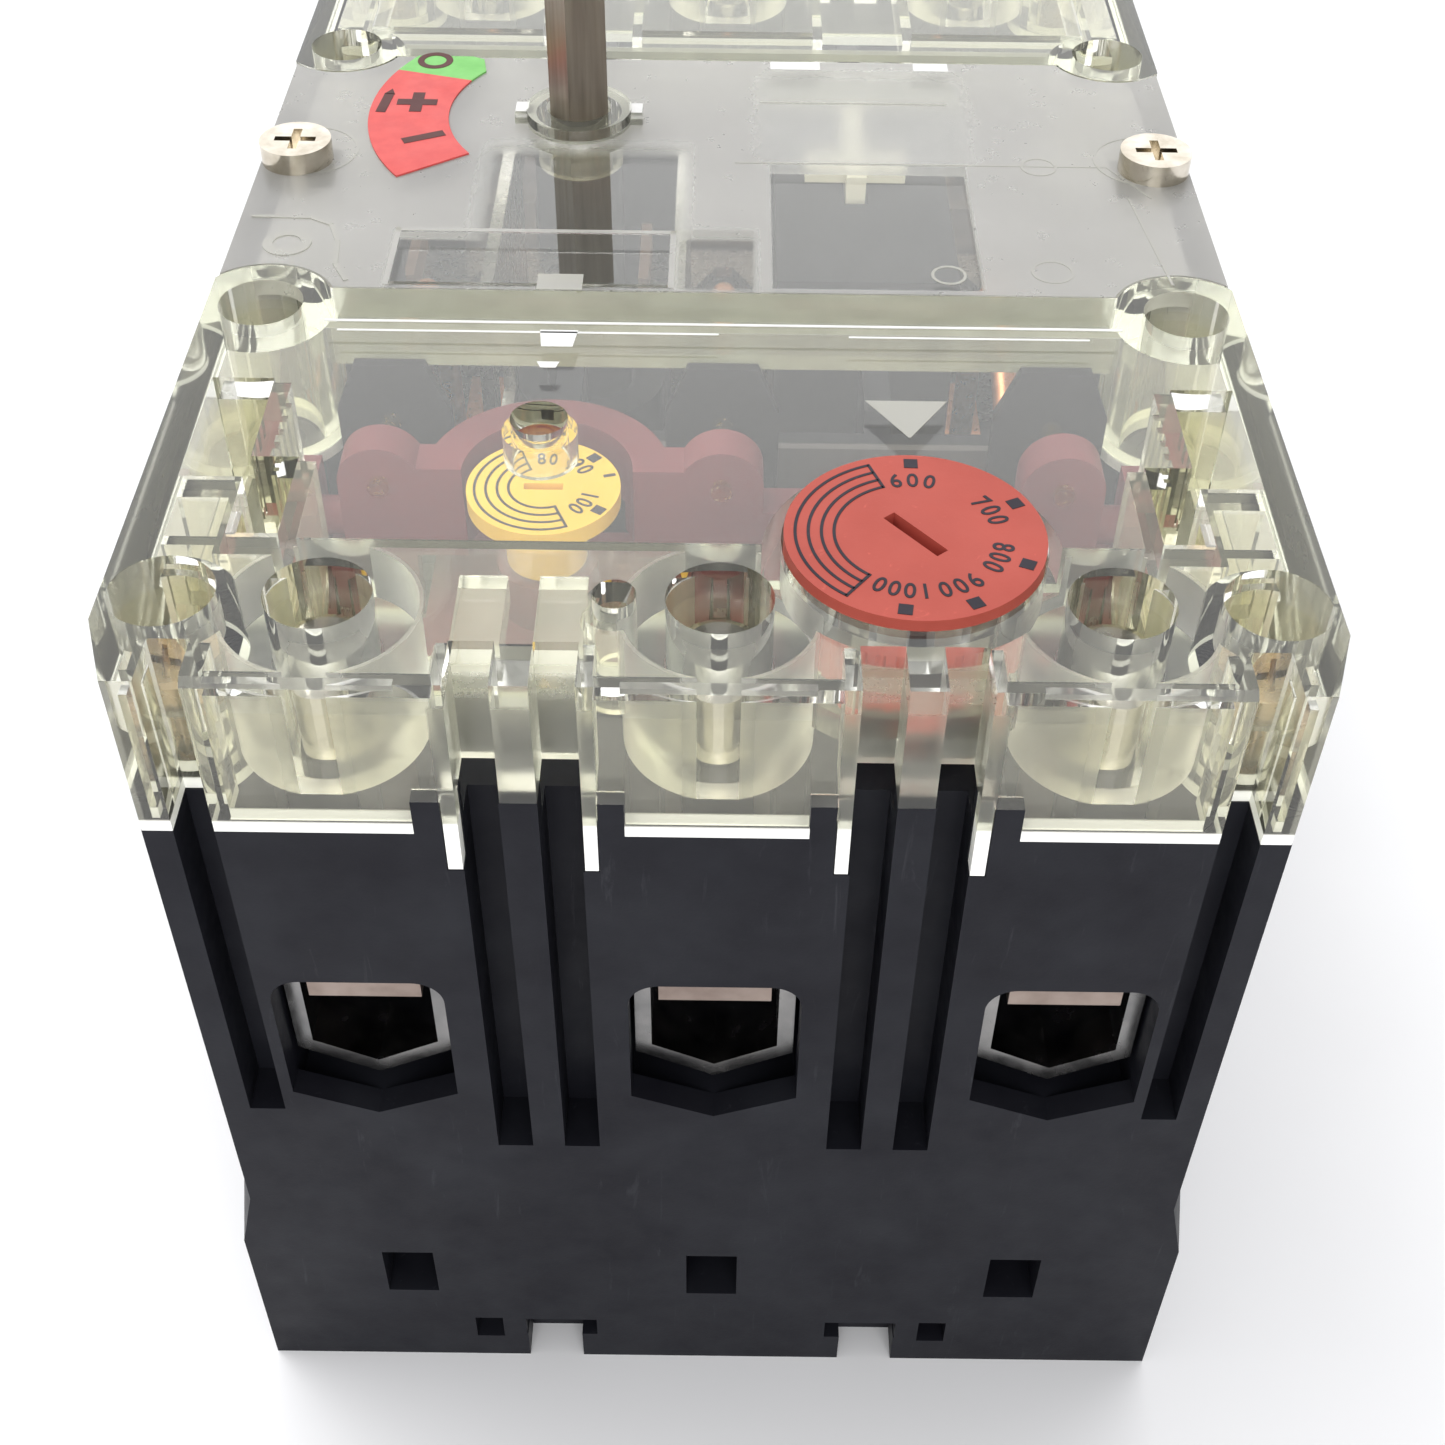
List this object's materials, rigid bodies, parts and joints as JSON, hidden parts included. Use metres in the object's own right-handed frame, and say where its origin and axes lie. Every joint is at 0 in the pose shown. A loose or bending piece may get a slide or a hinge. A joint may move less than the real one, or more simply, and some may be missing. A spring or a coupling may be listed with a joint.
{
  "type": "molded case breaker",
  "caption": "Moulded case circuit breaker, black base with clear covers, rotary square shaft and trip unit dials.",
  "frame": {"origin": "centre of the flat mounting face at the back of the base", "axes": "+Z points out of the mounting face to the operator, +X runs across the poles, -Y is the load end with the setting dials"},
  "size_m": [0.105, 0.172, 0.131],
  "materials": {
    "housing_moulding": "charcoal thermoset moulding, satin",
    "clear_cover": null,
    "nickel_screw": "nickel plated, worn golden in the recesses",
    "bronze_screw": "yellow passivated steel seen deep in the wells",
    "printed_label": "printed arc, green field for O and red field for trip and I",
    "clamp_steel": "zinc plated pressed steel",
    "clamp_screw": "zinc plated, domed and slotted",
    "terminal_copper": "tinned copper bar",
    "bimetal_strip": "oxidised bimetal, dark grey",
    "contact_silver": "silver alloy contact tip",
    "arm_copper": "plain copper",
    "braid_copper": "woven bare copper",
    "splitter_steel": "plain mild steel plates",
    "fibre_board": "vulcanised fibre",
    "crossbar_moulding": "black thermoset",
    "shaft_steel": "warm grey-brown phosphated steel",
    "drum_moulding": "dark moulding",
    "slider_moulding": "dark grey glass-filled nylon",
    "frame_steel": "zinc plated steel plates",
    "spring_steel": "spring wire",
    "switch_moulding": "dark grey switch body",
    "plunger_cream": "cream plunger",
    "trip_maroon": "maroon thermoset",
    "brass_screw": "bright brass calibration screws",
    "yoke_steel": "magnet iron",
    "thermal_yellow": "yellow dial with black print",
    "magnetic_red": "red dial with dark print"
  },
  "bodies": {
    "housing": {"base_housing": "housing_moulding", "load_cover": "clear_cover", "line_cover": "clear_cover", "front_plate": "clear_cover", "plate_screws": "nickel_screw", "load_cover_screws": "bronze_screw", "line_cover_screws": "bronze_screw", "position_label": "printed_label", "fixed_contacts": "contact_silver", "arc_chute_sides": "fibre_board", "flexible_braids": "braid_copper", "shaft_collar": "clear_cover", "mechanism_frame": "frame_steel", "return_springs": "spring_steel", "auxiliary_switch": "switch_moulding", "trip_unit_frame": "trip_maroon", "load_bar_left": "terminal_copper", "line_bar_left": "terminal_copper", "bimetal_left": "bimetal_strip", "magnet_yoke_left": "yoke_steel", "arc_plates_left": "splitter_steel", "load_bar_centre": "terminal_copper", "line_bar_centre": "terminal_copper", "bimetal_centre": "bimetal_strip", "magnet_yoke_centre": "yoke_steel", "arc_plates_centre": "splitter_steel", "load_bar_right": "terminal_copper", "line_bar_right": "terminal_copper", "bimetal_right": "bimetal_strip", "magnet_yoke_right": "yoke_steel", "arc_plates_right": "splitter_steel"},
    "drive": {"drive_shaft": "shaft_steel", "crank_drum": "drum_moulding"},
    "slider": {"drive_slider": "slider_moulding"},
    "contacts": {"crossbar": "crossbar_moulding", "moving_contacts": "contact_silver", "contact_arm_left": "arm_copper", "contact_arm_centre": "arm_copper", "contact_arm_right": "arm_copper"},
    "trip_bar": {"trip_bar": "trip_maroon", "calibration_screws": "brass_screw"},
    "thermal_dial": {"thermal_dial": "thermal_yellow"},
    "magnetic_dial": {"magnetic_dial": "magnetic_red"},
    "auxiliary_plunger": {"auxiliary_plunger": "plunger_cream"},
    "armature_left": {"armature_left": "yoke_steel"},
    "load_screw_left": {"load_screw_left": "clamp_screw"},
    "load_cage_left": {"load_cage_left": "clamp_steel"},
    "line_screw_left": {"line_screw_left": "clamp_screw"},
    "line_cage_left": {"line_cage_left": "clamp_steel"},
    "armature_centre": {"armature_centre": "yoke_steel"},
    "load_screw_centre": {"load_screw_centre": "clamp_screw"},
    "load_cage_centre": {"load_cage_centre": "clamp_steel"},
    "line_screw_centre": {"line_screw_centre": "clamp_screw"},
    "line_cage_centre": {"line_cage_centre": "clamp_steel"},
    "armature_right": {"armature_right": "yoke_steel"},
    "load_screw_right": {"load_screw_right": "clamp_screw"},
    "load_cage_right": {"load_cage_right": "clamp_steel"},
    "line_screw_right": {"line_screw_right": "clamp_screw"},
    "line_cage_right": {"line_cage_right": "clamp_steel"}
  },
  "joints": [
    {"name": "drive_turn", "type": "hinge", "parent": "housing", "child": "drive", "pos_m": [-0.0171, 0.0107, 0.11], "axis": [0, 0, 1], "range_deg": [-28, 28]},
    {"name": "slider_travel", "type": "slide", "parent": "housing", "child": "slider", "axis": [0, 1, 0], "range_m": [-0.00342, 0.00342], "deforming": ["return_springs"]},
    {"name": "contact_swing", "type": "hinge", "parent": "housing", "child": "contacts", "pos_m": [0, 0.018, 0.042], "axis": [1, 0, 0], "range_deg": [-14.2, 14.2], "deforming": ["flexible_braids"]},
    {"name": "trip_bar_tilt", "type": "hinge", "parent": "housing", "child": "trip_bar", "pos_m": [0, -0.0431, 0.092], "axis": [1, 0, 0], "range_deg": [0, 8], "stiffness_Nm_per_rad": 0.02, "springref_deg": -8.59},
    {"name": "thermal_setting", "type": "hinge", "parent": "housing", "child": "thermal_dial", "pos_m": [-0.0173, -0.049, 0.1], "axis": [0, 0, 1], "range_deg": [0, 110]},
    {"name": "magnetic_setting", "type": "hinge", "parent": "housing", "child": "magnetic_dial", "pos_m": [0.01695, -0.067, 0.111], "axis": [0, 0, 1], "range_deg": [0, 180]},
    {"name": "auxiliary_press", "type": "slide", "parent": "housing", "child": "auxiliary_plunger", "axis": [0, -1, 0], "range_m": [0, 0.0014], "stiffness_N_per_m": 200, "springref_m": -0.002},
    {"name": "armature_pull_left", "type": "hinge", "parent": "housing", "child": "armature_left", "pos_m": [-0.0341, -0.04875, 0.0724], "axis": [-1, 0, 0], "range_deg": [0, 5], "stiffness_Nm_per_rad": 0.01, "springref_deg": -8.59},
    {"name": "armature_pull_centre", "type": "hinge", "parent": "housing", "child": "armature_centre", "pos_m": [0, -0.04875, 0.0724], "axis": [-1, 0, 0], "range_deg": [0, 5], "stiffness_Nm_per_rad": 0.01, "springref_deg": -8.59},
    {"name": "armature_pull_right", "type": "hinge", "parent": "housing", "child": "armature_right", "pos_m": [0.0341, -0.04875, 0.0724], "axis": [-1, 0, 0], "range_deg": [0, 5], "stiffness_Nm_per_rad": 0.01, "springref_deg": -8.59},
    {"name": "load_screw_turn_left", "type": "hinge", "parent": "housing", "child": "load_screw_left", "pos_m": [-0.0341, -0.0747, 0.1], "axis": [0, 0, 1], "range_deg": [-2520, 0]},
    {"name": "load_cage_lift_left", "type": "slide", "parent": "housing", "child": "load_cage_left", "axis": [0, 0, 1], "range_m": [0, 0.007]},
    {"name": "load_screw_turn_centre", "type": "hinge", "parent": "housing", "child": "load_screw_centre", "pos_m": [0, -0.0747, 0.1], "axis": [0, 0, 1], "range_deg": [-2520, 0]},
    {"name": "load_cage_lift_centre", "type": "slide", "parent": "housing", "child": "load_cage_centre", "axis": [0, 0, 1], "range_m": [0, 0.007]},
    {"name": "load_screw_turn_right", "type": "hinge", "parent": "housing", "child": "load_screw_right", "pos_m": [0.0341, -0.0747, 0.1], "axis": [0, 0, 1], "range_deg": [-2520, 0]},
    {"name": "load_cage_lift_right", "type": "slide", "parent": "housing", "child": "load_cage_right", "axis": [0, 0, 1], "range_m": [0, 0.007]},
    {"name": "line_screw_turn_left", "type": "hinge", "parent": "housing", "child": "line_screw_left", "pos_m": [-0.0341, 0.0747, 0.1], "axis": [0, 0, 1], "range_deg": [-2520, 0]},
    {"name": "line_cage_lift_left", "type": "slide", "parent": "housing", "child": "line_cage_left", "axis": [0, 0, 1], "range_m": [0, 0.007]},
    {"name": "line_screw_turn_centre", "type": "hinge", "parent": "housing", "child": "line_screw_centre", "pos_m": [0, 0.0747, 0.1], "axis": [0, 0, 1], "range_deg": [-2520, 0]},
    {"name": "line_cage_lift_centre", "type": "slide", "parent": "housing", "child": "line_cage_centre", "axis": [0, 0, 1], "range_m": [0, 0.007]},
    {"name": "line_screw_turn_right", "type": "hinge", "parent": "housing", "child": "line_screw_right", "pos_m": [0.0341, 0.0747, 0.1], "axis": [0, 0, 1], "range_deg": [-2520, 0]},
    {"name": "line_cage_lift_right", "type": "slide", "parent": "housing", "child": "line_cage_right", "axis": [0, 0, 1], "range_m": [0, 0.007]}
  ],
  "couplings": [
    {"joint": "drive_turn", "follows": "slider_travel", "rad_per_m": 142.86},
    {"joint": "contact_swing", "follows": "slider_travel", "rad_per_m": -71.428},
    {"joint": "load_screw_turn_left", "follows": "load_cage_lift_left", "rad_per_m": -6283.1},
    {"joint": "load_screw_turn_centre", "follows": "load_cage_lift_centre", "rad_per_m": -6283.1},
    {"joint": "load_screw_turn_right", "follows": "load_cage_lift_right", "rad_per_m": -6283.1},
    {"joint": "line_screw_turn_left", "follows": "line_cage_lift_left", "rad_per_m": -6283.1},
    {"joint": "line_screw_turn_centre", "follows": "line_cage_lift_centre", "rad_per_m": -6283.1},
    {"joint": "line_screw_turn_right", "follows": "line_cage_lift_right", "rad_per_m": -6283.1}
  ]
}
